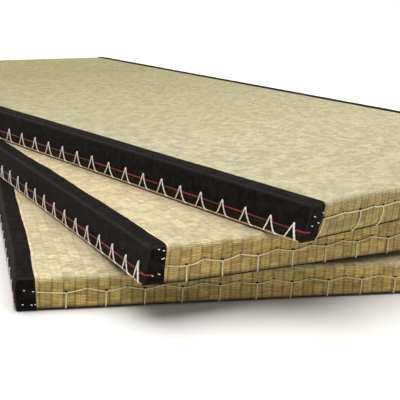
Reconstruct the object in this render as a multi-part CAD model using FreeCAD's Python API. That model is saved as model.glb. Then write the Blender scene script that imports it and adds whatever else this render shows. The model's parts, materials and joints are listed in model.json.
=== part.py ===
"""Set of three tatami mats, stacked one on another and fanned out about their middles.

Each mat is a quilted core of boards under a woven rush cover, with a black cloth border along both long
sides and cotton cord stitching along every edge. Millimetres, +Z up. The origin is the centre of the
bottom mat's underside, and +X runs along the bottom mat's length towards its front end.
"""
import FreeCAD, Part
import math
import os

# Overall plan of one mat
mat_length = 1800.0
mat_width = 900.0

# Layers of one mat, from the floor up. The cover is pinched under the borders and stands higher by its loft
# between them.
backing_thickness = 0.6
lower_board_thickness = 13.4
middle_layer_thickness = 32.0
upper_board_thickness = 12.0
cover_thickness = 2.2
cover_loft = 0.4
lining_thickness = 0.6
border_thickness = 1.2

# Edges of the rush cover and of the boards
end_fold_radius = 10.0
side_fold_radius = 9.0
fold_facets = 3
cover_turn_under = 60.0
end_board_width = 50.0
end_board_thickness = 3.0

# Black border cloth, the paper under it and the backing that turns up behind it
border_width = 30.0
selvage_height = 17.5
lining_margin = 2.0
backing_turn_up = 28.0
lining_lower_gap = 1.0

# Cord along the long sides
cord_thickness = 1.6
cord_floor_gap = 0.2
side_stitch_pitch = 52.0
side_stitch_height = 27.7
side_stitch_spread = 22.0
side_stitch_first = 16.0

# Cord along the ends
end_stitch_pitch = 60.0
end_stitch_height = 28.3
end_stitch_rise = 6.5
end_stitch_first = 60.0
end_stitch_border_gap = 2.0
thread_clearance = 0.2

# Small stitches that close the folded corners of the border. Each place is a share of the border's width, in
# from the side, and a share of the mat's height.
corner_stitch_places = [(0.33, 0.65), (0.82, 0.71), (0.33, 0.355), (0.73, 0.37)]
corner_stitch_length = 5.0
corner_stitch_width = 1.2
corner_stitch_thickness = 1.0

# Thread that sews the border's folded edge down, hidden under the border
hem_thread = 1.2
hem_stitch_margin = 5.0
hem_stitch_pitch = 40.0
hem_stitch_top_run = 12.0
hem_stitch_end_gap = 30.0

# Thread that quilts the three layers of the core together
quilting_thread = 1.5
quilting_row_pitch = 90.0
quilting_stitch = 75.0
quilting_board_gap = 36.6
quilting_hem_gap = 20.0

# How the stack is laid
stack_gap = 0.5
middle_turn_degrees = 13.75
middle_pivot = (213.0, -9.0)
top_turn_degrees = 12.1
top_pivot = (-69.0, -13.0)

# Worked out from the sizes above
core_thickness = lower_board_thickness + middle_layer_thickness + upper_board_thickness
mat_height = backing_thickness + core_thickness + cover_thickness + lining_thickness + border_thickness
stack_pitch = mat_height + stack_gap
half_length = mat_length / 2
half_width = mat_width / 2
side_packing = max(lining_thickness, backing_thickness)
core_side = border_thickness + side_packing
cover_depth = border_thickness + lining_thickness
core_top_depth = cover_depth + cover_thickness
core_end_depth = border_thickness + cover_thickness
core_top = mat_height - core_top_depth
cover_face = half_length - border_thickness
border_inner_edge = half_width - border_width
hem_line = border_inner_edge + hem_stitch_margin
end_board_start = half_length - core_end_depth - end_board_width


def prism(points, start, direction, length):
    """A solid of the closed outline in points, moved to start along direction and pulled out by length."""
    corners = [FreeCAD.Vector(*point) + direction * start for point in points]
    outline = Part.makePolygon(corners + corners[:1])
    return Part.Face(outline).extrude(direction * length)


def prism_along_x(points, start, end):
    """A solid whose outline is given as (y, z) points, from x = start to x = end."""
    return prism([(0, y, z) for y, z in points], start, FreeCAD.Vector(1, 0, 0), end - start)


def prism_along_y(points, start, end):
    """A solid whose outline is given as (x, z) points, from y = start to y = end."""
    return prism([(x, 0, z) for x, z in points], start, FreeCAD.Vector(0, 1, 0), end - start)


def box(low, high):
    """A block from its lowest corner to its highest."""
    size = [high[axis] - low[axis] for axis in range(3)]
    return Part.makeBox(size[0], size[1], size[2], FreeCAD.Vector(*low))


def folded_outline(half_span, radius, side_depth, top_depth):
    """The outline of a mat cut across, sunk below its outer skin, with both upper corners folded over."""
    centre_span = half_span - radius
    centre_height = mat_height - radius
    corner = []
    for facet in range(fold_facets + 1):
        angle = math.radians(90 * facet / fold_facets)
        span = centre_span + (radius - side_depth) * math.cos(angle)
        height = centre_height + (radius - top_depth) * math.sin(angle)
        corner.append((span, height))
    mirrored = [(-span, height) for span, height in reversed(corner)]
    edge = half_span - side_depth
    return [(-edge, 0.0), (edge, 0.0)] + corner + mirrored


def sunk_block(side_depth, top_depth, end_depth):
    """The whole mat as one block, each face sunk by a depth below the outer skin. The base stays put."""
    across = folded_outline(half_width, side_fold_radius, side_depth, top_depth)
    along = folded_outline(half_length, end_fold_radius, end_depth, top_depth)
    return prism_along_x(across, -half_length, half_length).common(
        prism_along_y(along, -half_width, half_width))


def thick_line(points, width):
    """A closed outline around an open line of points, width wide, with mitred corners."""
    left = []
    right = []
    for index, point in enumerate(points):
        before = points[max(index - 1, 0)]
        after = points[min(index + 1, len(points) - 1)]
        first = FreeCAD.Vector(point[0] - before[0], point[1] - before[1], 0)
        second = FreeCAD.Vector(after[0] - point[0], after[1] - point[1], 0)
        if first.Length == 0:
            first = second
        if second.Length == 0:
            second = first
        first.normalize()
        second.normalize()
        middle = first + second
        middle.normalize()
        reach = width / 2 / middle.dot(first)
        left.append((point[0] - middle.y * reach, point[1] + middle.x * reach))
        right.append((point[0] + middle.y * reach, point[1] - middle.x * reach))
    return left + right[::-1]


def evenly_spaced(first, last, pitch):
    """Places from first to last, as near to the pitch as fills the stretch evenly."""
    count = max(1, round((last - first) / pitch))
    return [first + (last - first) * index / count for index in range(count + 1)]


def running_stitch(starts, top_run, top, bottom):
    """A thread's line that runs along the top from each start, then down, along the bottom and up."""
    line = []
    for start, following in zip(starts, starts[1:]):
        line += [(start, top), (start + top_run, top), (start + top_run, bottom), (following, bottom)]
    return line


def mirrored_y(shape):
    """The same piece on the other long side."""
    return shape.mirror(FreeCAD.Vector(0, 0, 0), FreeCAD.Vector(0, 1, 0))


def mirrored_x(shape):
    """The same piece at the other end."""
    return shape.mirror(FreeCAD.Vector(0, 0, 0), FreeCAD.Vector(1, 0, 0))


def make_covered_core():
    """The space under the rush cover: the core and its backing, notched where the cover turns under."""
    core = sunk_block(core_side, core_top_depth, core_end_depth)
    turn_start = half_length - cover_turn_under
    notch = box((turn_start, -half_width, 0), (half_length, half_width, cover_thickness))
    return core.cut(notch).cut(mirrored_x(notch))


def make_rush_cover(covered_core):
    """Woven rush over the top, down both ends and turned under them, with its loft between the borders."""
    pinched = sunk_block(core_side, cover_depth, border_thickness)
    lofty = sunk_block(core_side, cover_depth - cover_loft, border_thickness)
    between = box((-half_length, -border_inner_edge, 0), (half_length, border_inner_edge, mat_height))
    return pinched.fuse(lofty.common(between)).cut(covered_core).removeSplitter()


def make_backing_sheet():
    """Dark cloth under the core, stepped over the turned cover and turned up behind both borders."""
    turn_start = half_length - cover_turn_under
    step = cover_thickness
    level = backing_thickness
    core_end = half_length - core_end_depth
    sheet_outline = [
        (-core_end, step), (-turn_start, step), (-turn_start, 0), (turn_start, 0), (turn_start, step),
        (core_end, step), (core_end, step + level), (turn_start - level, step + level),
        (turn_start - level, level), (level - turn_start, level), (level - turn_start, step + level),
        (-core_end, step + level)]
    core_edge = half_width - core_side
    sheet = prism_along_y(sheet_outline, -core_edge, core_edge)
    flange = box((-cover_face, core_edge, 0), (cover_face, core_edge + backing_thickness, backing_turn_up))
    return sheet.fuse(flange).fuse(mirrored_y(flange)).removeSplitter()


def make_boards(covered_core, backing_sheet):
    """The core's three layers and the stiff strips let into the upper one at both ends."""
    core = covered_core.cut(backing_sheet)
    middle_base = backing_thickness + lower_board_thickness
    upper_base = middle_base + middle_layer_thickness
    layers = []
    for low, high in ((0, middle_base), (middle_base, upper_base), (upper_base, mat_height)):
        layers.append(core.common(box((-half_length, -half_width, low), (half_length, half_width, high))))
    strip_base = core_top - end_board_thickness
    strip_room = box((end_board_start, -half_width, strip_base), (half_length, half_width, mat_height))
    front_strip = layers[2].common(strip_room)
    rear_strip = mirrored_x(front_strip)
    layers[2] = layers[2].cut(strip_room).cut(mirrored_x(strip_room))
    return layers + [front_strip, rear_strip]


def make_border_cloth():
    """Black cloth over the upper part of one long side, wrapped onto both ends down to the floor."""
    shell = sunk_block(0, 0, 0).cut(sunk_block(border_thickness, border_thickness, border_thickness))
    strip = box((-half_length, border_inner_edge, selvage_height), (half_length, half_width, mat_height))
    flap = box((cover_face, border_inner_edge, 0), (half_length, half_width, selvage_height))
    return shell.common(strip).fuse(shell.common(flap)).fuse(shell.common(mirrored_x(flap))).removeSplitter()


def make_border_lining():
    """Stiff paper between the border cloth and the mat, along the top and down the side."""
    outer = sunk_block(border_thickness, border_thickness, border_thickness)
    inner = sunk_block(border_thickness + lining_thickness, cover_depth, 0)
    end = half_length - end_fold_radius
    lower_edge = backing_turn_up + lining_lower_gap
    room = box((-end, border_inner_edge + lining_margin, lower_edge), (end, half_width, mat_height))
    return outer.cut(inner).common(room)


def make_side_stitching():
    """One cord along a long side: a tall narrow loop at each stitch, running along the bottom between."""
    bottom = cord_floor_gap + cord_thickness / 2
    line = []
    first = side_stitch_first - half_length
    for place in evenly_spaced(first, -first, side_stitch_pitch):
        line.append((place - side_stitch_spread / 2, bottom))
        line.append((place, side_stitch_height))
        line.append((place + side_stitch_spread / 2, bottom))
    return prism_along_y(thick_line(line, cord_thickness), half_width, half_width + cord_thickness)


def make_end_stitching():
    """Cord across the front end: a shallow wave from border to border, with a drop at each low point."""
    edge = border_inner_edge - end_stitch_border_gap
    high = end_stitch_height + end_stitch_rise
    knots = evenly_spaced(end_stitch_first - half_width, half_width - end_stitch_first, end_stitch_pitch)
    line = [(-edge, high)]
    drops = []
    for knot, following in zip(knots, knots[1:] + [None]):
        line.append((knot, end_stitch_height))
        if following is not None:
            line.append(((knot + following) / 2, high))
        drop_top = end_stitch_height - cord_thickness / 2 - thread_clearance
        low = (cover_face, knot - cord_thickness / 2, cord_floor_gap)
        drops.append(box(low, (cover_face + cord_thickness, knot + cord_thickness / 2, drop_top)))
    line.append((edge, high))
    wave = prism_along_x(thick_line(line, cord_thickness), cover_face, cover_face + cord_thickness)
    return Part.makeCompound([wave] + drops)


def make_corner_stitches():
    """The short stitches on the folded corners of the border, four to a corner."""
    stitches = []
    for inset_share, height_share in corner_stitch_places:
        centre = half_width - border_width * inset_share
        height = mat_height * height_share
        low = (half_length, centre - corner_stitch_length / 2, height - corner_stitch_width / 2)
        high = (half_length + corner_stitch_thickness, centre + corner_stitch_length / 2,
                height + corner_stitch_width / 2)
        left_front = box(low, high)
        right_front = mirrored_y(left_front)
        stitches += [left_front, right_front, mirrored_x(left_front), mirrored_x(right_front)]
    return Part.makeCompound(stitches)


def make_hem_stitching():
    """The running stitch under one border, from the lining's top down through the whole core."""
    top = mat_height - border_thickness - hem_thread / 2
    bottom = backing_thickness + cover_thickness + hem_thread / 2
    first = hem_stitch_end_gap - half_length
    starts = evenly_spaced(first, -first, hem_stitch_pitch)
    outline = thick_line(running_stitch(starts, hem_stitch_top_run, top, bottom), hem_thread)
    return prism_along_y(outline, hem_line - hem_thread / 2, hem_line + hem_thread / 2)


def make_quilting():
    """Rows of running stitch across the mat that hold the core's three layers together."""
    top = core_top - quilting_thread / 2
    bottom = backing_thickness + quilting_thread / 2
    last = hem_line - quilting_hem_gap
    starts = evenly_spaced(-last, last, 2 * quilting_stitch)
    outline = thick_line(running_stitch(starts, quilting_stitch, top, bottom), quilting_thread)
    rows = []
    last_row = end_board_start - quilting_board_gap
    for place in evenly_spaced(-last_row, last_row, quilting_row_pitch):
        rows.append(prism_along_x(outline, place - quilting_thread / 2, place + quilting_thread / 2))
    return Part.makeCompound(rows)


def make_mat():
    """Every piece of one mat at the origin, by name. Left is +Y and front is +X."""
    covered_core = make_covered_core()
    backing_sheet = make_backing_sheet()
    boards = make_boards(covered_core, backing_sheet)
    lower_board, middle_layer, upper_board, front_strip, rear_strip = boards
    left_hem = make_hem_stitching()
    right_hem = mirrored_y(left_hem)
    quilting = make_quilting()
    threads = Part.makeCompound([left_hem, right_hem, quilting])
    left_border = make_border_cloth()
    left_lining = make_border_lining().cut(left_hem)
    left_side_cord = make_side_stitching()
    front_end_cord = make_end_stitching()
    return {
        "core_lower_board": lower_board.cut(threads),
        "core_middle_layer": middle_layer.cut(threads),
        "core_upper_board": upper_board.cut(threads),
        "front_end_board": front_strip.cut(threads),
        "rear_end_board": rear_strip.cut(threads),
        "backing_sheet": backing_sheet,
        "rush_cover": make_rush_cover(covered_core).cut(threads),
        "left_border_lining": left_lining,
        "right_border_lining": mirrored_y(left_lining),
        "left_border_cloth": left_border,
        "right_border_cloth": mirrored_y(left_border),
        "left_side_stitching": left_side_cord,
        "right_side_stitching": mirrored_y(left_side_cord),
        "front_end_stitching": front_end_cord,
        "rear_end_stitching": mirrored_x(front_end_cord),
        "left_hem_stitching": left_hem,
        "right_hem_stitching": right_hem,
        "corner_stitches": make_corner_stitches(),
        "quilting_threads": quilting,
    }


def turned_about(pivot, degrees, lift):
    """The placement of a mat turned about an upright line through pivot, and lifted."""
    turn = FreeCAD.Rotation(FreeCAD.Vector(0, 0, 1), degrees)
    centre = FreeCAD.Vector(pivot[0], pivot[1], 0)
    return FreeCAD.Placement(centre - turn.multVec(centre) + FreeCAD.Vector(0, 0, lift), turn)


def main():
    os.makedirs("parts", exist_ok=True)
    bottom_place = FreeCAD.Placement()
    middle_place = turned_about(middle_pivot, middle_turn_degrees, stack_pitch)
    top_place = middle_place.multiply(turned_about(top_pivot, top_turn_degrees, stack_pitch))
    pieces = make_mat()
    for mat, place in (("bottom", bottom_place), ("middle", middle_place), ("top", top_place)):
        for name, shape in pieces.items():
            placed = shape.copy()
            placed.Placement = place.multiply(placed.Placement)
            placed.exportStep(f"parts/{mat}_{name}.step")
    top_axis = middle_place.multVec(FreeCAD.Vector(top_pivot[0], top_pivot[1], 0))
    print(f"middle mat turns about {middle_pivot}, top mat about ({top_axis.x:.3f}, {top_axis.y:.3f})")


main()
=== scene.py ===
"""Looks of a stack of three tatami mats: woven rush, black cloth borders, cord stitching. Metres, +Z up."""
import json
import math
import random

import bmesh
import bpy
import numpy as np
from mathutils import Matrix, Vector, noise


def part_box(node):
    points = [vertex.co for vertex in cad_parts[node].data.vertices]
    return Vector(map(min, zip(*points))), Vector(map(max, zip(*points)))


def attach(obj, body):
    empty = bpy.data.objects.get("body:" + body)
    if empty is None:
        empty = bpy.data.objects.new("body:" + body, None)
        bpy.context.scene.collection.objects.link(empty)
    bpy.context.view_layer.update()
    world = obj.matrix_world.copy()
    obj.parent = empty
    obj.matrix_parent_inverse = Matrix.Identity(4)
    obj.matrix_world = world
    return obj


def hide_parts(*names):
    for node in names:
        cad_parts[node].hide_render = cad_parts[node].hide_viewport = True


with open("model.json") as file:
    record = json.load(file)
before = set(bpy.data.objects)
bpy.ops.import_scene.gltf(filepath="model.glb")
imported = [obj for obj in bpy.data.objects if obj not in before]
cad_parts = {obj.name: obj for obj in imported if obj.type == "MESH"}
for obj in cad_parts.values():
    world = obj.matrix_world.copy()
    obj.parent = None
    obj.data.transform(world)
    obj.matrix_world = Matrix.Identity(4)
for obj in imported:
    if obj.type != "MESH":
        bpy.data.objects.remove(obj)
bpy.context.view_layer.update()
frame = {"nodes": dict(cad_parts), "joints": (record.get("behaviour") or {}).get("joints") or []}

MM = 0.001

# Sizes of one mat, read from the bottom one, which lies square to the frame
border_low, border_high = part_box("bottom_left_border_cloth")
cover_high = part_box("bottom_rush_cover")[1]
backing_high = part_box("bottom_backing_sheet")[1]
HALF_LENGTH = border_high.x
HALF_WIDTH = border_high.y
MAT_HEIGHT = border_high.z
BORDER_EDGE = border_low.y
COVER_TOP = cover_high.z
COVER_END = cover_high.x
BACKING_TURN_UP = backing_high.z
BACKING_SIDE = backing_high.y
STACK_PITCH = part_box("middle_backing_sheet")[0].z

# How far behind the front end its unevenness starts, and where across the mat its right side's spread starts
FRONT_ZONE = 110 * MM
SPREAD_START = 395 * MM
SPREAD_BLEND = 45 * MM

# Which way each side and each end lies from the middle
SIGNS = {"left": 1, "right": -1, "front": 1, "rear": -1}

# Rush cover and backing
COVER_THICKNESS = 2.0 * MM
COVER_HALF_WIDTH = HALF_WIDTH - 9 * MM
COVER_FOLD_RADIUS = 10 * MM
COVER_FOOT_RADIUS = 8 * MM
COVER_TURN_UNDER = 60 * MM
UNDER_BORDER_DROP = 0.8 * MM
RIB_PITCH = 17.3 * MM
RIB_RELIEF = 0.6 * MM
POINTS_PER_RIB = 6
STRAND_PITCH = 2.8 * MM
STITCH_PULL_REACH = 20 * MM
BACKING_THICKNESS = 0.6 * MM
BACKING_STEP = 2.2 * MM

# Border cloth
BORDER_THICKNESS = 1.2 * MM
BORDER_FOLD_RADIUS = 9 * MM
CORNER_RADIUS = 3.5 * MM
BORDER_HEM = 7 * MM
STRAY_WIDTH = 14 * MM
HIGHEST_TOP_LIFT = 0.2 * MM
FOOT_HEIGHT = 7 * MM
FOOT_TUCK = 3 * MM
SELVAGE_HEIGHT = 16.5 * MM
SELVAGE_WIDTH = 2.2 * MM
SELVAGE_DEPTH = 0.9 * MM
SELVAGE_CALM = 9 * MM

# Stitching
SIDE_STITCH_FIRST = 16 * MM
SIDE_STITCH_PITCH = 52 * MM
SIDE_STITCH_HEIGHT = 27.7 * MM
SIDE_STITCH_SPREAD = 22 * MM
SIDE_CORD_RADIUS = 1.05 * MM
SIDE_CORD_FACE = HALF_WIDTH + 1.4 * MM
DOUBLED_CORD_RADIUS = 1.5 * MM
EDGE_CORD_RADIUS = 1.1 * MM
END_STITCH_GAP = 100 * MM
END_CORD_RADIUS = 0.95 * MM
END_CORD_FACE = COVER_END + 1.0 * MM
END_CORD_INSIDE = COVER_END - 1.6 * MM
CORNER_CORD_RADIUS = 0.7 * MM
HOLE_WIDTH = 3.0 * MM
HOLE_HEIGHT = 1.9 * MM
PLIES = 2
PLY_RELIEF = 0.16
CORD_TIP = 0.55

# Where the pieces inside are cut across, in millimetres from the front end and from the right side
CUTS_FROM_FRONT = (110, 85, 60, 35, 15)
CUTS_FROM_RIGHT = (15, 40, 70, 110, 150, 200, 300, 500)

# Colours of the rush, and what its darker and paler stems multiply them by, what its end faces multiply them
# by (partly dirt, partly painted shade), and the painted shade that darkens and yellows it towards the rear
# end
RUSH_GREENISH = (0.545, 0.525, 0.335)
RUSH_CREAMY = (0.800, 0.665, 0.410)
RUSH_DARK_SHARES = (0.62, 0.58, 0.40)
RUSH_PALE_SHARES = (1.22, 1.22, 1.45)
RUSH_END_SHADE_AND_DIRT = (0.82, 0.69, 0.345)
RUSH_REAR_SHADE = (0.62, 0.61, 0.38)

# Camera and lights: the lens and its sensor in millimetres, the key light's angle in degrees
CAMERA_PLACE = (2.1678, -0.5310, 0.5020)
CAMERA_FORWARD = (-0.93349, 0.25953, -0.24746)
CAMERA_UP = (-0.25204, 0.01605, 0.96758)
CAMERA_LENS = 81.35
SENSOR_WIDTH = 36
KEY_DIRECTION = (0.12, 0.05, -1.0)
KEY_ANGLE = 75
KEY_STRENGTH = 3.5
KEY_COLOUR = (1.0, 0.985, 0.95)
SKY = 0.35
SKY_EDGE = 1.0
FLOOR_REACH = 9.0
FLOOR_DROP = 0.6 * MM

# Each mat as its maker left it:
# - tone: colour of its rush, 0 for greenish and 1 for creamy; light_falloff: how strongly painted shade,
#   standing in for light falling off, darkens and yellows it towards the rear end
# - knots: distance of the first end stitch from the front right corner, and from one stitch to the next
# - stitch, climb: height of the end stitches at that corner, and how fast it grows away from there
# - rise: how much higher the cord goes in between them; lean: how far their feet lean towards the corner
# - wrinkle: how crumpled its border is; wrap: how far the border's red edge goes round each end
# - last_height: height of the doubled loop nearest each end of a long side
# - lean_out, droop: how far the top of its front end leans out and hangs down
# - tuck_in, sag: how far the foot of its front right corner goes in and hangs down
# - spread: how far its right border goes out at the top
# - corner: the small stitches that close each corner, as inset, height, run and rise in millimetres
MATS = [
    {"name": "bottom", "tone": 0.9, "light_falloff": 0.0,
     "knots": (75 * MM, 59.4 * MM), "stitch": 30.8 * MM, "climb": 0.0, "rise": 6.5 * MM, "lean": 0.5 * MM,
     "wrinkle": 0.6, "wrap": 0.0, "last_height": 28 * MM,
     "lean_out": 0.0, "droop": 9 * MM, "tuck_in": 0.0, "sag": 0.0, "spread": 5 * MM,
     "corner": [(15, 40, 1.4, 0.4), (26, 37, 1.8, -0.5), (10, 12, 1.6, 0.3), (24, 11, 2.2, 0.5),
                (28, 12, 1.2, 0.2)]},
    {"name": "middle", "tone": 1.0, "light_falloff": 0.2,
     "knots": (62 * MM, 62.1 * MM), "stitch": 25.6 * MM, "climb": 0.009, "rise": 6.5 * MM, "lean": -1.5 * MM,
     "wrinkle": 1.5, "wrap": 11 * MM, "last_height": 34 * MM,
     "lean_out": 5 * MM, "droop": 1 * MM, "tuck_in": 11 * MM, "sag": 3 * MM, "spread": 0.0,
     "corner": [(15, 55, 1.8, 0.8), (22, 54, 1.6, 0.5), (23, 41, 4.6, -1.8), (10.6, 17, 2.2, 0.8),
                (20, 18.6, 3.2, 1.2)]},
    {"name": "top", "tone": 0.3, "light_falloff": 0.9,
     "knots": (121 * MM, 59.1 * MM), "stitch": 34.4 * MM, "climb": 0.0, "rise": 1.8 * MM, "lean": 8.0 * MM,
     "wrinkle": 0.8, "wrap": 9 * MM, "last_height": 29 * MM,
     "lean_out": 16 * MM, "droop": 0.0, "tuck_in": 0.0, "sag": 0.0, "spread": 0.0,
     "corner": [(27, 45, 1.6, 1.2), (9.5, 42, 2.2, 0.8), (9.5, 27, 2.2, 0.8), (21, 29, 3.0, 1.2)]},
]


# ---- places

def lay_mats():
    """Gives each mat its place at rest. A joint's lower limit squares its mat with the one below."""
    place = Matrix.Identity(4)
    MATS[0]["place"] = place
    for joint, mat in zip(frame["joints"], MATS[1:]):
        pivot = Vector(joint["pos_m"])
        turn = Matrix.Rotation(math.radians(-joint["range_deg"][0]), 4, "Z")
        about = Matrix.Translation(pivot) @ turn @ Matrix.Translation(-pivot)
        place = about @ Matrix.Translation((0, 0, STACK_PITCH)) @ place
        mat["place"] = place


# ---- mesh tools

def smooth(value):
    """0 below 0, 1 above 1, and a smooth rise between."""
    value = np.clip(value, 0.0, 1.0)
    return value * value * (3 - 2 * value)


def bell(away, reach):
    """1 at no distance, about a third at the reach, and next to nothing at twice the reach."""
    return math.exp(-(away / reach) ** 2)


def hand_made(vertices, mat):
    """A mat's points moved from its square outline to a slightly uneven one, mostly at its front end."""
    points = np.array(vertices, float)
    x, y, z = points.T
    from_corner = y + HALF_WIDTH
    front = smooth((x - HALF_LENGTH + FRONT_ZONE) / FRONT_ZONE)
    right_side = smooth((-y - SPREAD_START) / SPREAD_BLEND)
    height = np.clip(z / MAT_HEIGHT, 0.0, 1.0)

    def by_corner(reach):
        return np.exp(-(from_corner / reach) ** 2)

    lean_out = mat["lean_out"] * (0.25 + 0.75 * by_corner(110 * MM)) * height
    tuck_in = mat["tuck_in"] * by_corner(35 * MM) * (1 - height)
    points[:, 0] += front * (lean_out - tuck_in)
    points[:, 1] -= mat["spread"] * (0.4 + 0.6 * front) * right_side * height
    points[:, 2] -= front * mat["droop"] * height * (0.55 + 0.45 * by_corner(300 * MM))
    points[:, 2] -= front * mat["sag"] * (1 - height) * by_corner(240 * MM)
    return points


def add_object(name, data, place):
    """A new object, put in the scene."""
    made = bpy.data.objects.new(name, data)
    bpy.context.scene.collection.objects.link(made)
    made.matrix_world = place
    return made


class Builder:
    """Collects vertices and faces in a mat's own coordinates and makes one object of them."""

    def __init__(self, mat=None):
        self.mat = mat
        self.vertices = []
        self.faces = []
        self.values = []

    def add(self, vertices, faces, values=None):
        """Adds a patch. Its faces count from its first vertex, and values has a number for each vertex."""
        start = len(self.vertices)
        self.vertices.extend(tuple(v) for v in vertices)
        self.faces.extend(tuple(start + i for i in face) for face in faces)
        self.values.extend(values if values is not None else [0.0] * len(vertices))

    def make(self, name, material, attribute=None):
        """One smooth object from all the patches, laid with its mat. The values go to the attribute named."""
        place, vertices = Matrix.Identity(4), self.vertices
        if self.mat:
            name = f"{self.mat['name']}_{name}"
            place, vertices = self.mat["place"], hand_made(self.vertices, self.mat)
        mesh = bpy.data.meshes.new(name)
        mesh.from_pydata(vertices, [], self.faces)
        mesh.validate()
        mesh.polygons.foreach_set("use_smooth", [True] * len(mesh.polygons))
        if attribute:
            layer = mesh.attributes.new(attribute, "FLOAT", "POINT")
            layer.data.foreach_set("value", self.values)
        mesh.materials.append(material)
        return add_object(name, mesh, place)


def grid_faces(rows, columns, flip=False):
    """Faces of a grid whose vertices are listed row by row, turned over if flip is set."""
    faces = []
    for row in range(rows - 1):
        for column in range(columns - 1):
            a = row * columns + column
            face = (a, a + 1, a + columns + 1, a + columns)
            faces.append(face[::-1] if flip else face)
    return faces


def smooth_path(points, step):
    """Points every step or so along a smooth line through the points given (Catmull-Rom)."""
    points = [np.array(p, float) for p in points]
    padded = [2 * points[0] - points[1]] + points + [2 * points[-1] - points[-2]]
    line = []
    for p0, p1, p2, p3 in zip(padded, padded[1:], padded[2:], padded[3:]):
        count = max(1, int(round(np.linalg.norm(p2 - p1) / step)))
        for index in range(count):
            t = index / count
            line.append(0.5 * (2 * p1 + (p2 - p0) * t + (2 * p0 - 5 * p1 + 4 * p2 - p3) * t ** 2
                               + (3 * p1 - p0 - 3 * p2 + p3) * t ** 3))
    line.append(points[-1])
    return np.array(line)


def tube_faces(rings, sides):
    """Faces of a tube whose vertices are listed ring by ring, closed at both ends."""
    faces = []
    for ring in range(rings - 1):
        for corner in range(sides):
            following = (corner + 1) % sides
            a, b = ring * sides + corner, ring * sides + following
            faces.append((a, b, b + sides, a + sides))
    faces.append(tuple(range(sides))[::-1])
    faces.append(tuple((rings - 1) * sides + corner for corner in range(sides)))
    return faces


def mirrored(points, end, side):
    """Points with x multiplied by the sign of an end, and y by the sign of a side."""
    return [(x * end, y * side, z) for x, y, z in points]


def add_cord(builder, points, radius, step=1.6 * MM, sides=8, twist=2.2 * MM, flatten=1.0):
    """A closed tube along points whose outline has a lobe for each ply, winding along its length."""
    line = smooth_path(points, step)
    tangents = np.gradient(line, axis=0)
    tangents /= np.linalg.norm(tangents, axis=1)[:, None]
    guide = np.array((0.0, 0.0, 1.0)) if abs(tangents[0][2]) < 0.8 else np.array((0.0, 1.0, 0.0))
    side = np.cross(tangents[0], guide)
    side /= np.linalg.norm(side)
    travelled = 0.0
    vertices = []
    angles = np.arange(sides) * 2 * math.pi / sides
    for index, point in enumerate(line):
        tangent = tangents[index]
        side = side - tangent * side.dot(tangent)
        side /= np.linalg.norm(side)
        other = np.cross(tangent, side)
        if index:
            travelled += np.linalg.norm(point - line[index - 1])
        lobes = 1 + PLY_RELIEF * np.cos(PLIES * (angles - travelled / twist))
        taper = CORD_TIP if index in (0, len(line) - 1) else 1.0
        reach = radius * taper * lobes
        vertices.extend(point + np.outer(reach * np.cos(angles), side)
                        + np.outer(reach * np.sin(angles) * flatten, other))
    builder.add(vertices, tube_faces(len(line), sides))


def solidify(piece, thickness):
    """Gives a sheet its thickness, inwards from the side that its normals face."""
    modifier = piece.modifiers.new("thickness", "SOLIDIFY")
    modifier.thickness = thickness
    modifier.offset = -1
    modifier.use_rim = True
    return piece


def wander(seed, *where):
    """Smooth noise from about -1 to 1 at a place. Each seed reads another part of the noise."""
    spot = (*where, 0.0, 0.0)[:3]
    return noise.noise(Vector(spot) + Vector((seed * 17.3, seed * 5.1, seed * 9.7)))


# ---- materials

class Shader:
    """A small helper for writing a node material. Values are numbers or sockets."""

    def __init__(self, name, roughness, specular, sheen=0.0):
        self.material = bpy.data.materials.new(name)
        self.material.use_nodes = True
        self.tree = self.material.node_tree
        self.surface = self.tree.nodes["Principled BSDF"]
        for key, value in (("Roughness", roughness), ("Specular IOR Level", specular),
                           ("Sheen Weight", sheen), ("Sheen Roughness", 0.5)):
            self.surface.inputs[key].default_value = value

    def node(self, kind, inputs=(), **settings):
        made = self.tree.nodes.new(kind)
        for key, value in settings.items():
            setattr(made, key, value)
        for key, value in dict(inputs).items():
            self.set(made.inputs[key], value)
        return made

    def set(self, socket, value):
        if isinstance(value, bpy.types.NodeSocket):
            self.tree.links.new(value, socket)
        else:
            socket.default_value = value

    def math(self, operation, a, b=0.0):
        return self.node("ShaderNodeMath", {0: a, 1: b}, operation=operation).outputs[0]

    def times(self, a, b):
        return self.math("MULTIPLY", a, b)

    def plus(self, a, b):
        return self.math("ADD", a, b)

    def size(self, value):
        return self.math("ABSOLUTE", value)

    def sine(self, value, factor):
        return self.math("SINE", self.times(value, factor))

    def between(self, value, low, high, to_low=0.0, to_high=1.0):
        """to_low at low and to_high at high, with a straight line between and no change beyond."""
        made = self.node("ShaderNodeMapRange", {
            "Value": value, "From Min": low, "From Max": high, "To Min": to_low, "To Max": to_high})
        return made.outputs["Result"]

    def vector(self, x, y, z):
        return self.node("ShaderNodeCombineXYZ", {"X": x, "Y": y, "Z": z}).outputs[0]

    def noise(self, where, scale, detail, roughness=0.5):
        """Noise at a vector or at a tuple of three values."""
        where = self.vector(*where) if isinstance(where, tuple) else where
        made = self.node("ShaderNodeTexNoise", {
            "Vector": where, "Scale": scale, "Detail": detail, "Roughness": roughness})
        return made.outputs["Fac"]

    def mix(self, factor, a, b, blend="MIX"):
        made = self.node("ShaderNodeMix", data_type="RGBA", blend_type=blend)
        self.set(made.inputs["Factor"], factor)
        self.set(made.inputs["A"], colour(a))
        self.set(made.inputs["B"], colour(b))
        return made.outputs["Result"]

    def place(self):
        """The point in the piece's own coordinates, as x, y and z."""
        made = self.node("ShaderNodeSeparateXYZ", {0: self.node("ShaderNodeTexCoord").outputs["Object"]})
        return made.outputs

    def finish(self, base_colour, height=None, distance=0.5 * MM, strength=1.0):
        """Connects the colour and, where there is one, the bump height, and gives the material."""
        self.set(self.surface.inputs["Base Color"], base_colour)
        if height is not None:
            bump = self.node("ShaderNodeBump", {
                "Height": height, "Distance": distance, "Strength": strength})
            self.set(self.surface.inputs["Normal"], bump.outputs["Normal"])
        return self.material


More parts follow.
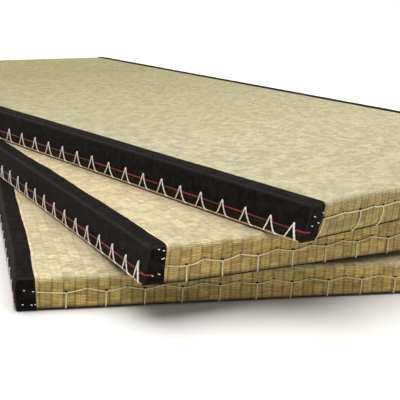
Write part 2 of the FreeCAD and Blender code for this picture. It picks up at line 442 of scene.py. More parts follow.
def colour(value):
    """An RGB tuple given an alpha; a socket is left as it is."""
    return (*value, 1.0) if isinstance(value, tuple) and len(value) == 3 else value


def mix_rgb(a, b, share):
    """The colour a share of the way from a to b."""
    return tuple(x + (y - x) * share for x, y in zip(a, b))


def scale_rgb(base, shares):
    """A colour with each channel multiplied by its share, and none above 1."""
    return tuple(min(1.0, channel * share) for channel, share in zip(base, shares))


def rush_colour(shader, mat, seed, across, along, number):
    """Straw between greenish and creamy: streaked stems, pale patches, and a painted highlight in a paler
    strip beside each border.
    """
    straw = mix_rgb(RUSH_GREENISH, RUSH_CREAMY, mat["tone"])
    dark, pale = scale_rgb(straw, RUSH_DARK_SHARES), scale_rgb(straw, RUSH_PALE_SHARES)
    stem = shader.noise((shader.times(across, 70.0), shader.times(number, 0.83), seed), 1.0, 2.0, 0.6)
    patch = shader.noise((shader.times(across, 95.0), shader.times(along, 150.0), seed + 3.0), 1.0, 3.0, 0.6)
    broad = shader.noise((shader.times(across, 1.6), shader.times(along, 1.1), seed + 7.0), 1.0, 1.0, 0.5)
    # Painted highlight: a paler strip in the rush just beside each border's inner edge
    border_edge_highlight = shader.between(shader.size(across), BORDER_EDGE - 5 * MM, BORDER_EDGE - 2 * MM, 0.0, 0.5)
    base = shader.mix(shader.between(stem, 0.36, 0.66), dark, straw)
    base = shader.mix(shader.between(patch, 0.42, 0.70, 0.0, 0.55), base, pale)
    base = shader.mix(shader.between(broad, 0.35, 0.7, 0.0, 0.30), base, RUSH_GREENISH)
    return shader.mix(border_edge_highlight, base, pale)


def rush_shade(shader, seed, strand, rib, round_top, grain, on_end):
    """Shadow between stems and in grooves, which shows more on the ends, and a tone for each bundle."""
    crest = shader.size(shader.sine(rib, math.pi))
    half_way = shader.size(shader.math("COSINE", shader.times(rib, math.pi)))
    bundle = shader.math("FLOOR", shader.times(strand, 0.22))
    tone = shader.node("ShaderNodeTexWhiteNoise", {
        "Vector": shader.vector(shader.math("FLOOR", rib), seed, bundle)}).outputs["Value"]
    shade = shader.times(shader.between(round_top, 0.0, 0.8, 0.34, 1.0),
                         shader.between(grain, 0.0, 0.5, 0.85, 1.0))
    groove = shader.times(shader.between(crest, 0.0, 0.52, 0.50, 1.0),
                          shader.between(half_way, 0.0, 0.30, 0.80, 1.0))
    faint = shader.between(on_end, 0.0, 1.0, 0.64, 0.0)
    groove = shader.plus(faint, shader.times(groove, shader.math("SUBTRACT", 1.0, faint)))
    shade = shader.times(shade, groove)
    shade = shader.times(shade, shader.between(tone, 0.0, 1.0, 0.72, 1.22))
    depth = shader.between(on_end, 0.0, 1.0, 0.68, 1.0)
    return shader.plus(shader.times(shade, depth), shader.math("SUBTRACT", 1.0, depth))


def rush_material(mat, seed):
    """Rush stems laid across the mat over ribs of warp, each stem with its own tone along its length."""
    shader = Shader(f"{mat['name']}_rush", roughness=0.62, sheen=0.08, specular=0.28)
    weave = shader.node("ShaderNodeUVMap", uv_map="weave").outputs["UV"]
    parts = shader.node("ShaderNodeSeparateXYZ", {0: weave}).outputs
    across, along = parts["X"], parts["Y"]
    rib = shader.math("DIVIDE", across, RIB_PITCH)
    strand = shader.math("DIVIDE", along, STRAND_PITCH)
    number = shader.math("FLOOR", strand)
    round_top = shader.sine(shader.math("FRACT", strand), math.pi)
    odd = shader.times(shader.math("MODULO", number, 2.0), 0.25)
    grain = shader.size(shader.sine(shader.plus(rib, odd), math.tau))
    on_end = shader.between(shader.size(along), HALF_LENGTH - 6 * MM, HALF_LENGTH + 6 * MM)
    x, _, z = shader.place()
    base = rush_colour(shader, mat, seed, across, along, number)
    # Partly dirt and partly painted shade: the end faces multiplied darker and browner than the top
    base = shader.mix(on_end, base, shader.mix(1.0, base, RUSH_END_SHADE_AND_DIRT, blend="MULTIPLY"))
    # Painted shade: darker and yellower towards the rear end, standing in for light falling off away from the
    # front
    rear_shade = shader.between(x, HALF_LENGTH * 0.5, -HALF_LENGTH * 0.6, 0.0, mat["light_falloff"])
    base = shader.mix(rear_shade, base, shader.mix(1.0, base, RUSH_REAR_SHADE, blend="MULTIPLY"))
    shade = rush_shade(shader, seed, strand, rib, round_top, grain, on_end)
    # Painted shade: the rush darker towards its foot, where it meets the floor and the mat below
    shade = shader.times(shade, shader.between(z, 1.5 * MM, 8 * MM, 0.22, 1.0))
    grey = shader.node("ShaderNodeCombineColor", {"Red": shade, "Green": shade, "Blue": shade})
    base = shader.mix(1.0, base, grey.outputs[0], blend="MULTIPLY")
    height = shader.times(round_top, shader.between(grain, 0.0, 1.0, 0.35, 1.0))
    return shader.finish(base, height, distance=0.5 * MM, strength=0.8)


def border_material():
    """Black woven cotton, a little grey where it folds, partly from wear and partly painted sheen, with
    painted highlight flecks.
    """
    deep, plain = (0.0024, 0.0020, 0.0016), (0.0112, 0.0092, 0.0072)
    # Colours of the grey along the folds (wear and painted sheen) and of the painted highlight flecks
    wear_and_sheen, highlight_flecks = (0.037, 0.033, 0.029), (0.050, 0.046, 0.040)
    thread = 0.9 * MM
    shader = Shader("black_border", roughness=0.92, sheen=0.02, specular=0.09)
    x, y, z = shader.place()
    where = shader.vector(x, y, z)
    weft = shader.sine(x, math.tau / thread)
    warp = shader.sine(shader.plus(y, z), math.tau / thread)
    crinkle = shader.noise(where, 150.0, 3.0, 0.55)
    height = shader.plus(shader.times(shader.times(weft, warp), 0.12), crinkle)
    mottle = shader.noise(where, 75.0, 5.0, 0.65)
    fold = shader.node("ShaderNodeAttribute", attribute_name="fold").outputs["Fac"]
    # Partly wear and partly painted sheen: grey in patches along the folds
    wear_and_sheen_patches = shader.between(shader.noise(where, 160.0, 3.0), 0.35, 0.65, 0.55, 1.0)
    fold_wear_and_sheen = shader.times(fold, wear_and_sheen_patches)
    # Painted highlights: small pale flecks over the cloth
    highlight_fleck_mask = shader.between(shader.noise(where, 420.0, 2.0), 0.63, 0.72, 0.0, 0.55)
    base = shader.mix(shader.between(mottle, 0.4, 0.62), deep, plain)
    base = shader.mix(shader.times(fold_wear_and_sheen, 0.8), base, wear_and_sheen)
    base = shader.mix(highlight_fleck_mask, base, highlight_flecks)
    return shader.finish(base, height, distance=1.4 * MM, strength=0.8)


def backing_material():
    """Dark brown woven backing with paler straw fibres in it."""
    dark, straw = (0.008, 0.006, 0.004), (0.038, 0.028, 0.012)
    thread = 3 * MM
    shader = Shader("dark_backing", roughness=0.9, specular=0.15)
    x, y, z = shader.place()
    where = (shader.times(x, 90.0), shader.times(y, 90.0), shader.times(z, 260.0))
    streak = shader.noise(where, 1.0, 4.0, 0.65)
    weave = shader.times(shader.sine(x, math.tau / thread), shader.sine(shader.plus(y, z), math.tau / thread))
    base = shader.mix(shader.between(streak, 0.42, 0.68), dark, straw)
    return shader.finish(base, weave, distance=0.3 * MM, strength=0.6)


def cord_material(name, light, dark):
    """Cotton cord: fine slanting fibres, soiled in patches. Its plies are in the geometry."""
    shader = Shader(name, roughness=0.8, sheen=0.3, specular=0.25)
    x, y, z = shader.place()
    one_way, other_way = shader.plus(x, z), shader.math("SUBTRACT", x, z)
    slanting = (shader.times(one_way, 900.0), shader.times(other_way, 260.0), shader.times(y, 500.0))
    fibres = shader.noise(slanting, 1.0, 3.0, 0.6)
    soil = shader.noise((x, y, z), 28.0, 3.0, 0.55)
    base = shader.mix(shader.between(fibres, 0.35, 0.6), dark, light)
    base = shader.mix(shader.between(soil, 0.52, 0.75, 0.0, 0.5), base, dark)
    return shader.finish(base, fibres, distance=0.2 * MM, strength=0.5)


def selvage_material():
    """The red woven edge of the border cloth."""
    dark_red, red = (0.13, 0.004, 0.008), (0.31, 0.013, 0.024)
    thread = 1.2 * MM
    shader = Shader("red_selvage", roughness=0.7, sheen=0.15, specular=0.25)
    x, y, z = shader.place()
    twill = shader.sine(shader.plus(x, z), math.tau / thread)
    faded = shader.noise((x, y, z), 30.0, 3.0)
    base = shader.mix(shader.between(faded, 0.35, 0.65), dark_red, red)
    return shader.finish(base, twill, distance=0.15 * MM, strength=0.5)


def board_material(name, light, dark, scale, stretch):
    """Pressed fibres or straw, for the layers inside."""
    shader = Shader(name, roughness=0.85, specular=0.2)
    x, y, z = shader.place()
    where = (shader.times(x, scale), shader.times(y, scale / stretch), shader.times(z, scale))
    fibres = shader.noise(where, 1.0, 5.0, 0.65)
    base = shader.mix(shader.between(fibres, 0.35, 0.65), dark, light)
    return shader.finish(base, fibres, distance=0.6 * MM, strength=0.6)


def hole_shade_material():
    """Painted shade for the dark inside of a needle hole in the rush."""
    shader = Shader("needle_hole", roughness=0.95, specular=0.1)
    x, y, z = shader.place()
    ragged = shader.noise((x, y, z), 900.0, 3.0)
    return shader.finish(shader.mix(ragged, (0.010, 0.006, 0.003), (0.045, 0.028, 0.012)))


def floor_material():
    """A plain pale floor."""
    shader = Shader("pale_floor", roughness=0.9, specular=0.1)
    return shader.finish(colour((0.84, 0.84, 0.84)))


# ---- rush cover

def cover_half_path():
    """From the middle of the top to the hem under the front end: x, z and the outward direction at each."""
    fold_x, fold_z = COVER_END - COVER_FOLD_RADIUS, COVER_TOP - COVER_FOLD_RADIUS
    foot_x = COVER_END - COVER_FOOT_RADIUS

    def arc(x, z, radius, start, stop, count):
        turns = [(math.cos(angle), math.sin(angle)) for angle in np.radians(np.linspace(start, stop, count))]
        return [(x + radius * c, z + radius * s, c, s) for c, s in turns]

    top_xs = [*np.linspace(0, fold_x - 30 * MM, 22), *np.linspace(fold_x - 25 * MM, fold_x - 5 * MM, 4)]
    path = [(x, COVER_TOP, 0.0, 1.0) for x in top_xs]
    path += arc(fold_x, fold_z, COVER_FOLD_RADIUS, 90, 0, 9)
    path += [(COVER_END, z, 1.0, 0.0) for z in np.linspace(fold_z - 2 * MM, COVER_FOOT_RADIUS + 2 * MM, 20)]
    path += arc(foot_x, COVER_FOOT_RADIUS, COVER_FOOT_RADIUS, 0, -90, 5)
    path += [(x, 0.0, 0.0, -1.0) for x in np.linspace(foot_x - 8 * MM, COVER_END - COVER_TURN_UNDER, 5)]
    return np.array(path)


def end_holes(mat):
    """Where the front end's stitching goes through the rush: y, height, and whether it is a low one."""
    first, pitch = mat["knots"]
    edge = BORDER_EDGE - 4 * MM
    last_low, last_high = edge - 8 * MM, edge - 6 * MM
    lows = [first - HALF_WIDTH]
    while lows[-1] + pitch < last_low:
        lows.append(lows[-1] + pitch)
    if first > END_STITCH_GAP:
        lows.insert(0, -edge)
    holes = []
    for low, following in zip(lows, lows[1:] + [lows[-1] + pitch]):
        height = mat["stitch"] + mat["climb"] * (low + HALF_WIDTH)
        holes.append((low, height, True))
        middle = (low + following) / 2
        if middle < last_high:
            holes.append((middle, height + mat["rise"], False))
    return holes


def rib_profile(across):
    """Height of the ribs across the mat: 1 on a crest, 0 in a groove and 0.5 in a groove half-way."""
    turn = np.pi * across / RIB_PITCH
    ribs = 1 - (1 - np.abs(np.sin(turn))) ** 2.0
    return np.minimum(ribs, 1 - 0.5 * (1 - np.abs(np.cos(turn))) ** 4.0)


def make_rush_cover(mat, seed):
    """The woven sheet over the top, down both ends and under them, with ribs and puckered stitch lines."""
    half = cover_half_path()
    rear = half[:0:-1] * (-1, 1, -1, 1)
    path = np.vstack([rear, half])
    steps = np.linalg.norm(np.diff(path[:, :2], axis=0), axis=1)
    travelled = np.concatenate([[0.0], np.cumsum(steps)])
    travelled -= travelled[-1] / 2
    ribs = int(COVER_HALF_WIDTH / RIB_PITCH)
    inner = np.arange(-ribs * POINTS_PER_RIB, ribs * POINTS_PER_RIB + 1) * RIB_PITCH / POINTS_PER_RIB
    across = np.concatenate([[-COVER_HALF_WIDTH], inner, [COVER_HALF_WIDTH]])
    front_holes = end_holes(mat)
    rear_holes = [(-y, z, low) for y, z, low in front_holes]
    vertices, weave = [], []
    for (x, z, out_x, out_z), distance in zip(path, travelled):
        on_end = abs(out_x) > 0.9
        for y, ridge in zip(across, rib_profile(across)):
            lift = RIB_RELIEF * (ridge - 1)
            if abs(y) > BORDER_EDGE:
                lift -= UNDER_BORDER_DROP
            if on_end and abs(y) < BORDER_EDGE:
                lift -= stitch_pull(front_holes if x > 0 else rear_holes, y, z)
            if out_z > 0.9:
                flat = min(1, (COVER_END - abs(x)) / (50 * MM))
                lift += 0.35 * MM * wander(seed, distance * 5, y * 7) * flat
            else:
                lift += 0.3 * MM * wander(seed, z * 60, y * 45, x)
            vertices.append((x + out_x * lift, y, z + out_z * lift))
            weave.append((y, distance))
    builder = Builder(mat)
    builder.add(vertices, grid_faces(len(path), len(across), flip=True))
    piece = builder.make("rush_weave", rush_material(mat, seed))
    layer = piece.data.uv_layers.new(name="weave")
    loops = np.zeros(len(piece.data.loops), np.int32)
    piece.data.loops.foreach_get("vertex_index", loops)
    layer.data.foreach_set("uv", np.array(weave)[loops].astype(np.float32).ravel())
    piece.data.uv_layers.active = layer
    return solidify(piece, COVER_THICKNESS), (2 * COVER_HALF_WIDTH, travelled[-1] * 2)


def stitch_pull(holes, y, z):
    """How far the end stitching draws the rush in at a point on the end face."""
    pull = 0.0
    for hole_y, hole_z, low in holes:
        away = y - hole_y
        if abs(away) > STITCH_PULL_REACH:
            continue
        reach = math.hypot(away, z - hole_z)
        pull += (1.1 if low else 0.8) * MM * bell(reach, 4.5 * MM)
        if low and z < hole_z:
            pull += 0.45 * MM * bell(away, 3.5 * MM)
    line = holes[0][1] + 3 * MM
    return pull + 0.35 * MM * bell(z - line, 5 * MM)


# ---- border cloth

def fine_ends(limit, coarse, fine, zone):
    """Places from -limit to limit, fine within a zone of either end and coarse between."""
    ends = np.arange(0, zone, fine)
    middle = np.linspace(-limit + zone, limit - zone, int((2 * limit - 2 * zone) / coarse) + 1)
    return np.concatenate([-limit + ends, middle, (limit - ends)[::-1]])


def round_corner(x, y, z):
    """A point of the front left outline rounded: the point, its outward direction, and 1 where it folds."""
    drop = MAT_HEIGHT - z
    blend = min(1.0, max(0.0, (drop - 5 * MM) / (20 * MM)))
    upright = BORDER_FOLD_RADIUS + (CORNER_RADIUS - BORDER_FOLD_RADIUS) * blend * blend * (3 - 2 * blend)
    radii = (upright, upright, BORDER_FOLD_RADIUS)
    depths = (HALF_LENGTH - x, HALF_WIDTH - y, drop)
    near = [max(0.0, 1 - depth / radius) for depth, radius in zip(depths, radii)]
    size = math.sqrt(sum(n * n for n in near))
    moved = []
    for depth, radius, n in zip(depths, radii, near):
        moved.append(radius * (1 - n / size) if n > 0 else depth)
    fold = max(0.0, 1 - abs(size - 1.41) / 0.38) if size > 1 else 0.0
    direction = Vector([n / size for n in near])
    return Vector((HALF_LENGTH - moved[0], HALF_WIDTH - moved[1], MAT_HEIGHT - moved[2])), direction, fold


def side_stitch_places():
    """Where the loops stand along a side, evenly spread from end to end."""
    last = HALF_LENGTH - SIDE_STITCH_FIRST
    count = round(2 * last / SIDE_STITCH_PITCH)
    return [-last + 2 * last * index / count for index in range(count + 1)]


def selvage_sway(seed, x):
    """How far the selvage line rises and falls along a border."""
    return 0.35 * MM * wander(seed + 6, x * 30)


def border_lift(mat, seed, x, y, z, out, stitches):
    """How far the border stands off its outline: unevenness, a puffed inner hem, pinches at the stitches."""
    wobble = wander(seed, x * 38, y * 20, z * 20)
    slow = wander(seed + 2, x * 9, z * 5)
    crumple = wander(seed + 5, x * 26 + y * 60, z * 70, x * 3)
    near_end = bell(HALF_LENGTH - abs(x), 90 * MM)
    lift = (0.22 * wobble + 0.35 * slow + 0.7 * mat["wrinkle"] * crumple * (0.4 + 0.7 * near_end)) * MM
    edge = y - BORDER_EDGE
    if edge < BORDER_HEM and (out.z > 0.5 or out.x > 0.5):
        lift += 0.55 * MM * math.sin(math.pi * min(1, edge / BORDER_HEM + 0.12))
        lift -= 1.3 * MM * max(0.0, 1 - edge / (1.1 * MM)) ** 2
    if out.y > 0.9 and z < 45 * MM:
        for stitch in stitches:
            if abs(x - stitch) < 14 * MM:
                away = math.hypot(x - stitch, z - SIDE_STITCH_HEIGHT)
                lift -= 0.9 * MM * bell(away, 4 * MM)
        hang = max(0.0, 1 - (z - SELVAGE_HEIGHT) / SELVAGE_CALM)
        lift += 0.25 * MM * hang * (0.4 + wander(seed + 8, x * 55))
    return min(lift, HIGHEST_TOP_LIFT) if out.z > 0.5 else lift


def make_border(mat, side, seed, material):
    """Cloth over one long edge, folded down both ends."""
    sign = SIGNS[side]
    xs = fine_ends(HALF_LENGTH, 7 * MM, 1.5 * MM, 16 * MM)
    ys = np.concatenate([BORDER_EDGE + np.array([0, 0.5, 1.2, 2.4]) * MM,
                         np.linspace(BORDER_EDGE + 4 * MM, HALF_WIDTH, 17)])
    side_zs = np.linspace(SELVAGE_HEIGHT, MAT_HEIGHT, 25)
    flap_zs = np.concatenate([np.linspace(0, SELVAGE_HEIGHT, 9)[:-1], side_zs])
    stitches = side_stitch_places()
    builder = Builder(mat)

    def shaped(x, y, z):
        end = 1 if x > 0 else -1
        point, out, fold = round_corner(abs(x), y, z)
        calm = smooth((z - SELVAGE_HEIGHT) / SELVAGE_CALM) if out.y > 0.9 else 1.0
        point += out * border_lift(mat, seed, x, y, z, out, stitches) * (0.05 + 0.95 * calm)
        edge = y - BORDER_EDGE
        if edge < STRAY_WIDTH:
            stray = 0.5 * wander(seed + 3, x * 45, z * 45)
            stray += 2.4 * mat["wrinkle"] * wander(seed + 9, x * 13, z * 13)
            point.y += stray * MM * (1 - edge / STRAY_WIDTH) ** 2
        if z < SELVAGE_HEIGHT + 0.1 * MM and out.y > 0.9 and out.x < 0.1:
            point.z += selvage_sway(seed, x)
        if z < FOOT_HEIGHT and abs(x) >= HALF_LENGTH:
            point.x -= FOOT_TUCK * (1 - z / FOOT_HEIGHT) ** 2
        return (point.x * end, point.y * sign, point.z), fold

    def patch(rows, columns, spot, flip):
        made = [shaped(*spot(row, column)) for row in rows for column in columns]
        builder.add([m[0] for m in made], grid_faces(len(rows), len(columns), flip), [m[1] for m in made])

    turned_over = sign < 0
    patch(xs, ys, lambda x, y: (x, y, MAT_HEIGHT), not turned_over)
    patch(xs, side_zs, lambda x, z: (x, HALF_WIDTH, z), turned_over)
    patch(flap_zs, ys, lambda z, y: (HALF_LENGTH, y, z), turned_over)
    patch(flap_zs, ys, lambda z, y: (-HALF_LENGTH, y, z), not turned_over)
    piece = builder.make(f"{side}_border", material, attribute="fold")
    weld = piece.modifiers.new("joined", "WELD")
    weld.merge_threshold = 0.02 * MM
    return solidify(piece, BORDER_THICKNESS)


def make_selvage(mat, side, seed, material):
    """The red woven edge along the bottom of one border, wrapped a little way round each end."""
    sign = SIGNS[side]
    height = SELVAGE_HEIGHT + SELVAGE_WIDTH / 2
    out = HALF_WIDTH + 0.45 * MM
    wrap = [(HALF_LENGTH - 2 * MM, out)]
    if mat["wrap"]:
        wrap = [(HALF_LENGTH + 0.9 * MM, HALF_WIDTH - mat["wrap"]),
                (HALF_LENGTH + 1.0 * MM, HALF_WIDTH - 3.5 * MM),
                (HALF_LENGTH - 0.6 * MM, HALF_WIDTH - 0.2 * MM)]
    line = [(-x, y) for x, y in wrap]
    line += [(x, out) for x in np.linspace(-HALF_LENGTH + 6 * MM, HALF_LENGTH - 6 * MM, 150)]
    line += wrap[::-1]
    points = [(x, y * sign, height + selvage_sway(seed, x)) for x, y in line]
    builder = Builder(mat)
    add_cord(builder, points, SELVAGE_DEPTH, step=5 * MM, sides=10, twist=40 * MM,
             flatten=SELVAGE_WIDTH / SELVAGE_DEPTH / 2)
    return builder.make(f"{side}_selvage", material)


def make_backing(mat, seed, material):
    """Dark cloth under the mat, turned up behind both borders."""
    hem = HALF_LENGTH - COVER_TURN_UNDER - 1.2 * MM
    xs = np.concatenate([[-COVER_END + 0.5 * MM], np.linspace(-hem, hem, 160), [COVER_END - 0.5 * MM]])
    rim = np.linspace(0, BACKING_TURN_UP - 1 * MM, 12)
    across = [(-BACKING_SIDE, z) for z in rim[::-1]]
    across += [(y, 0.0) for y in np.linspace(-BACKING_SIDE + 3 * MM, BACKING_SIDE - 3 * MM, 30)]
    across += [(BACKING_SIDE, z) for z in rim]
    vertices = []
    for x in xs:
        for y, z in across:
            above_cover = abs(x) > hem and abs(y) < BACKING_SIDE
            lift = BACKING_STEP if above_cover else 0.0
            bulge = 0.35 * MM * wander(seed, x * 60, z * 90) if z > 3 * MM else 0.0
            vertices.append((x, y + math.copysign(bulge, y), z + lift))
    builder = Builder(mat)
    builder.add(vertices, grid_faces(len(xs), len(across)))
    piece = builder.make("backing_cloth", material)
    width = 2 * (BACKING_SIDE + rim[-1])
    return solidify(piece, BACKING_THICKNESS), (width, 2 * COVER_END)


# ---- stitching

def side_loop(apex, top, left, right):
    """Route of one tall narrow loop, from the edge cord up to its apex and back down."""
    foot = EDGE_CORD_RADIUS * 1.5
    route = [(left, -0.3, -0.9, foot - 0.4 * MM), (left, 0, -0.2, foot + 2 * MM),
             (left + (apex - left) * 0.5, 0, 0.1, top * 0.52), (apex, -1.3, 0.2, top - 2.2 * MM),
             (apex, 0, -0.5, top), (apex, 1.2, 0.3, top - 2.0 * MM),
             (apex + (right - apex) * 0.45, 0, 0.8, top * 0.55), (right, -1.2, 0.7, foot + 4 * MM),
             (right, 2.0, 0.2, foot + 0.8 * MM), (right, 6.5, -0.4, foot)]
    return [(x + along * MM, SIDE_CORD_FACE + off * MM, z) for x, along, off, z in route]


def last_side_loop(apex, top, outward):
    """Routes of the two legs of the loop nearest an end of the mat: a thick doubled one and a thin one."""
    doubled = [(0.0, -0.4, top - 0.5 * MM), (0.8, 0.8, top - 2.5 * MM), (4.4, 0.9, top * 0.5),
               (8.6, 0.7, 3.5 * MM), (9.4, 0.1, 1.6 * MM)]
    thin = [(-13, -0.9, EDGE_CORD_RADIUS * 1.5), (-6.5, 0.0, top * 0.5), (-0.8, 0.2, top - 2.5 * MM),
            (0.0, 0.0, top)]
    return [[(apex + along * MM * outward, SIDE_CORD_FACE + off * MM, z) for along, off, z in leg]
            for leg in (doubled, thin)]


def make_side_stitches(mat, side, seed, material):
    """Tall narrow loops of cord over the lower part of one border."""
    sign = SIGNS[side]
    dice = random.Random(seed)
    builder = Builder(mat)
    places = side_stitch_places()
    for stitch in places:
        last = stitch in (places[0], places[-1])
        outward = math.copysign(1.0, stitch)
        apex = stitch + dice.uniform(-1.5, 1.5) * MM - (7 * MM * outward if last else 0.0)
        top = (mat["last_height"] if last else SIDE_STITCH_HEIGHT) + dice.uniform(-1.0, 0.8) * MM
        spread = SIDE_STITCH_SPREAD * dice.uniform(0.92, 1.08)
        left = apex - spread * 0.5 + dice.uniform(-1, 1) * MM
        right = apex + spread * 0.5 + dice.uniform(-1, 1) * MM
        if last:
            doubled, thin = last_side_loop(apex, top, outward)
            add_cord(builder, mirrored(doubled, 1, sign), DOUBLED_CORD_RADIUS)
            add_cord(builder, mirrored(thin, 1, sign), SIDE_CORD_RADIUS)
        else:
            add_cord(builder, mirrored(side_loop(apex, top, left, right), 1, sign), SIDE_CORD_RADIUS)
    return builder.make(f"{side}_side_stitches", material)


def make_edge_cord(mat, side, seed, material):
    """The cord that runs along the bottom of one side, through every stitch."""
    sign = SIGNS[side]
    last = HALF_LENGTH - 8 * MM
    face = HALF_WIDTH + 0.2 * MM
    points = [(x, (face + 0.3 * MM * wander(seed + 1, x * 40)) * sign,
               EDGE_CORD_RADIUS + 0.35 * MM + 0.25 * MM * wander(seed, x * 40))
              for x in np.linspace(-last, last, 170)]
    builder = Builder(mat)
    add_cord(builder, points, EDGE_CORD_RADIUS, step=2.6 * MM, sides=7, twist=3.2 * MM)
    return builder.make(f"{side}_edge_cord", material)


def end_wave(hole, following, sag):
    """Route of the cord over the rush from one hole of an end to the next."""
    (y0, z0, _), (y1, z1, _) = hole, following
    run, rise = y1 - y0, z1 - z0
    face, inside = END_CORD_FACE, END_CORD_INSIDE
    return [(inside, y0 + 0.4 * MM, z0), (face - 0.2 * MM, y0 + 1.8 * MM, z0 + rise * 0.05),
            (face + 0.25 * MM, y0 + run * 0.35, z0 + rise * 0.33 - sag),
            (face + 0.25 * MM, y0 + run * 0.68, z0 + rise * 0.68 - sag * 0.6),
            (face - 0.2 * MM, y1 - 1.8 * MM, z1 - rise * 0.04), (inside, y1 - 0.3 * MM, z1)]


def end_drop(y, z, lean, bow):
    """Route of the cord from a low hole of an end down to the floor."""
    face, inside = END_CORD_FACE, END_CORD_INSIDE
    return [(inside, y, z - 0.2 * MM), (face + 0.1 * MM, y + 0.1 * MM, z - 2.2 * MM),
            (face + 0.3 * MM, y - lean * 0.10 + bow * 0.4, z * 0.62),
            (face + 0.2 * MM, y - lean * 0.50 + bow * 0.6, z * 0.3),
            (face - 0.6 * MM, y - lean * 0.9, 4.0 * MM), (inside - 1.5 * MM, y - lean, 1.4 * MM)]


def make_end_stitches(mat, end, seed, material):
    """Cord in a shallow wave across one end, with a drop to the floor at each low point."""
    sign = SIGNS[end]
    dice = random.Random(seed)
    builder = Builder(mat)
    edge = BORDER_EDGE - 1.5 * MM
    at_border = mat["stitch"] + 0.6 * mat["rise"]
    holes = [(y + dice.uniform(-2, 2) * MM, z + dice.uniform(-0.8, 0.8) * MM, low)
             for y, z, low in end_holes(mat)]
    openings = [(sign, y, z, low) for y, z, low in holes]
    spare = 8 * MM
    if holes[0][0] + edge > spare:
        holes.insert(0, (-edge, at_border, False))
    if edge - holes[-1][0] > spare:
        holes.append((edge, at_border, False))
    for hole, following in zip(holes, holes[1:]):
        wave = end_wave(hole, following, dice.uniform(0.2, 0.9) * MM)
        add_cord(builder, mirrored(wave, sign, sign), END_CORD_RADIUS)
    for y, z, low in holes:
        if not low:
            continue
        lean = mat["lean"] * dice.uniform(0.6, 1.4)
        bow = lean * 0.25 + dice.uniform(-0.8, 0.8) * MM
        add_cord(builder, mirrored(end_drop(y, z, lean, bow), sign, sign), END_CORD_RADIUS * 1.08)
    piece = builder.make(f"{end}_end_stitches", material)
    return piece, openings


def make_needle_holes(mat, holes, material):
    """Dark patches of painted shade on the rush, standing for the opening that each end stitch goes through.
    """
    builder = Builder(mat)
    rings, sides = 5, 10
    for sign, y, z, low in holes:
        size = 1.0 if low else 0.7
        vertices = []
        for ring in range(rings):
            tilt = math.pi * (ring + 0.5) / rings - math.pi / 2
            for corner in range(sides):
                turn = math.tau * corner / sides
                vertices.append(((COVER_END + 0.4 * MM + 0.35 * MM * math.sin(tilt)) * sign,
                                 (y + HOLE_WIDTH * size * math.cos(tilt) * math.cos(turn)) * sign,
                                 z + 1.6 * MM * size + HOLE_HEIGHT * size * math.cos(tilt) * math.sin(turn)))
        builder.add(vertices, tube_faces(rings, sides))
    return builder.make("needle_holes", material)


def make_corner_stitches(mat, seed, material):
    """Short white stitches that close the folded corners of both borders."""
    dice = random.Random(seed)
    builder = Builder(mat)
    face = HALF_LENGTH + 0.9 * MM
    for end in (1, -1):
        for side in (1, -1):
            for inset, height, run, rise in mat["corner"]:
                y = HALF_WIDTH - (inset + dice.uniform(-1.2, 1.2)) * MM
                z = (height + dice.uniform(-1.5, 1.5)) * MM
                half_run, half_rise = run * MM / 2, rise * MM / 2
                points = [(face + off * MM, y + share * half_run, z + share * half_rise)
                          for off, share in ((-1.2, -1), (0.3, -0.6), (0.5, 0), (0.3, 0.6), (-1.2, 1))]
                add_cord(builder, mirrored(points, end, side), CORNER_CORD_RADIUS, step=0.6 * MM)
    return builder.make("corner_dashes", material)


# ---- assembly

def settle(piece, mat, slot, *nodes):
    """Rides a piece on its mat and stands it for CAD nodes, whose parts it hides. Its slot is not used."""
    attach(piece, f"{mat['name']}_mat")
    if nodes:
        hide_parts(*[f"{mat['name']}_{node}" for node in nodes])
    return piece


def make_hidden_piece(mat, node, material):
    """One CAD node of a mat, cut across in places so that it can follow the mat's unevenness."""
    shape = bmesh.new()
    shape.from_mesh(frame["nodes"][f"{mat['name']}_{node}"].data)
    bmesh.ops.transform(shape, matrix=mat["place"].inverted(), verts=shape.verts)
    cuts = [((HALF_LENGTH - back * MM, 0, 0), (1, 0, 0)) for back in CUTS_FROM_FRONT]
    cuts += [((0, away * MM - HALF_WIDTH, 0), (0, 1, 0)) for away in CUTS_FROM_RIGHT]
    for point, normal in cuts:
        bmesh.ops.bisect_plane(shape, geom=shape.verts[:] + shape.edges[:] + shape.faces[:],
                               plane_co=Vector(point), plane_no=Vector(normal))
    builder = Builder(mat)
    builder.add([v.co for v in shape.verts], [[v.index for v in face.verts] for face in shape.faces])
    shape.free()
    return builder.make(f"inner_{node}", material)


def make_hidden_pieces():
    """The boards, strips, linings and threads inside each mat."""
    fibre = board_material("fibre_board", (0.30, 0.20, 0.10), (0.16, 0.10, 0.05), 300.0, 4.0)
    straw = board_material("packed_straw", (0.52, 0.38, 0.14), (0.26, 0.17, 0.06), 180.0, 14.0)
    strip = board_material("stiff_strip", (0.72, 0.70, 0.64), (0.60, 0.58, 0.52), 60.0, 1.0)
    paper = board_material("lining_paper", (0.36, 0.27, 0.15), (0.28, 0.20, 0.11), 120.0, 6.0)
    thread = cord_material("plain_thread", (0.62, 0.54, 0.38), (0.42, 0.35, 0.22))
    pieces = {"core_lower_board": (fibre, "fibre_board"), "core_middle_layer": (straw, "rice_straw"),
              "core_upper_board": (fibre, "fibre_board"), "front_end_board": (strip, "end_board"),
              "rear_end_board": (strip, "end_board"), "left_border_lining": (paper, "lining_paper"),
              "right_border_lining": (paper, "lining_paper"), "left_hem_stitching": (thread, "sewing_thread"),
              "right_hem_stitching": (thread, "sewing_thread"), "quilting_threads": (thread, "sewing_thread")}
    for mat in MATS:
        for node, (material, slot) in pieces.items():
            settle(make_hidden_piece(mat, node, material), mat, slot, node)


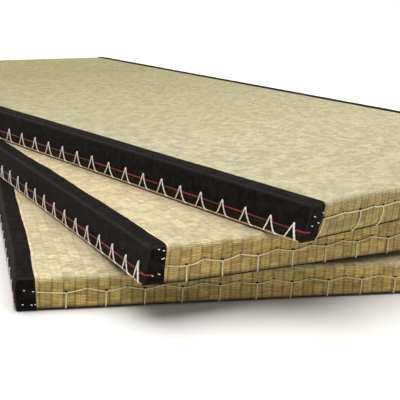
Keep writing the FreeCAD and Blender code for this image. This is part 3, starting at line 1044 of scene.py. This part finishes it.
def make_mats():
    """Every piece of every mat that can be seen."""
    border_cloth = border_material()
    backing_cloth = backing_material()
    white_cord = cord_material("white_cotton_cord", (0.95, 0.93, 0.88), (0.78, 0.73, 0.64))
    tan_cord = cord_material("tan_edge_cord", (0.72, 0.44, 0.29), (0.44, 0.23, 0.13))
    cream_cord = cord_material("cream_end_cord", (0.80, 0.71, 0.49), (0.56, 0.46, 0.28))
    red_edge = selvage_material()
    hole_shade = hole_shade_material()
    for number, mat in enumerate(MATS):
        seed = 10 * (number + 1)
        cover, cover_flat = make_rush_cover(mat, seed)
        settle(cover, mat, "woven_rush", "rush_cover")
        backing, backing_flat = make_backing(mat, seed + 1, backing_cloth)
        settle(backing, mat, "backing_cloth", "backing_sheet")
        for offset, side in ((2, "left"), (3, "right")):
            border = make_border(mat, side, seed + offset, border_cloth)
            settle(border, mat, "border_cloth", f"{side}_border_cloth")
            selvage = settle(make_selvage(mat, side, seed + offset, red_edge), mat, "border_cloth")
            stitches = make_side_stitches(mat, side, seed + offset, white_cord)
            settle(stitches, mat, "cotton_cord", f"{side}_side_stitching")
            settle(make_edge_cord(mat, side, seed + offset, tan_cord), mat, "cotton_cord")
        holes = []
        for offset, end in ((4, "front"), (5, "rear")):
            stitches, openings = make_end_stitches(mat, end, seed + offset, cream_cord)
            settle(stitches, mat, "end_cord", f"{end}_end_stitching")
            holes += openings
        settle(make_needle_holes(mat, holes, hole_shade), mat, "woven_rush")
        corners = make_corner_stitches(mat, seed + 6, white_cord)
        settle(corners, mat, "cotton_cord", "corner_stitches")


def make_floor():
    """A pale floor just under the mats."""
    corners = [(x * FLOOR_REACH, y * FLOOR_REACH, -FLOOR_DROP)
               for x, y in ((-1, -1), (1, -1), (1, 1), (-1, 1))]
    builder = Builder()
    builder.add(corners, [(0, 1, 2, 3)])
    floor = builder.make("floor", floor_material())


def make_sky():
    """A white sky all round that is brightest near the horizon."""
    world = bpy.data.worlds.new("studio")
    world.use_nodes = True
    tree = world.node_tree
    height = tree.nodes.new("ShaderNodeSeparateXYZ")
    tree.links.new(tree.nodes.new("ShaderNodeTexCoord").outputs["Generated"], height.inputs[0])
    light_falloff = tree.nodes.new("ShaderNodeMapRange")
    for socket, value in (("From Min", 0.05), ("From Max", 0.28), ("To Min", SKY_EDGE), ("To Max", SKY)):
        light_falloff.inputs[socket].default_value = value
    tree.links.new(height.outputs["Z"], light_falloff.inputs["Value"])
    tree.links.new(light_falloff.outputs["Result"], tree.nodes["Background"].inputs["Strength"])
    tree.nodes["Background"].inputs["Color"].default_value = (1.0, 1.0, 1.0, 1.0)
    bpy.context.scene.world = world
    bpy.context.scene.view_settings.view_transform = "Standard"


def make_key_light():
    """Very soft light from above."""
    data = bpy.data.lights.new("key", "SUN")
    data.angle = math.radians(KEY_ANGLE)
    data.energy = KEY_STRENGTH
    data.color = KEY_COLOUR
    add_object("key", data, Vector(KEY_DIRECTION).to_track_quat("-Z", "Y").to_matrix().to_4x4())


def make_camera():
    """The camera that sees the mats as the photo shows them."""
    data = bpy.data.cameras.new("camera")
    data.lens = CAMERA_LENS
    data.sensor_width = SENSOR_WIDTH
    data.clip_start, data.clip_end = 0.05, 60.0
    forward = Vector(CAMERA_FORWARD).normalized()
    right = forward.cross(Vector(CAMERA_UP)).normalized()
    turn = Matrix((right, right.cross(forward), -forward)).transposed().to_4x4()
    bpy.context.scene.camera = add_object("camera", data, Matrix.Translation(CAMERA_PLACE) @ turn)


make_camera()
make_floor()
make_sky()
make_key_light()
lay_mats()
make_mats()
make_hidden_pieces()
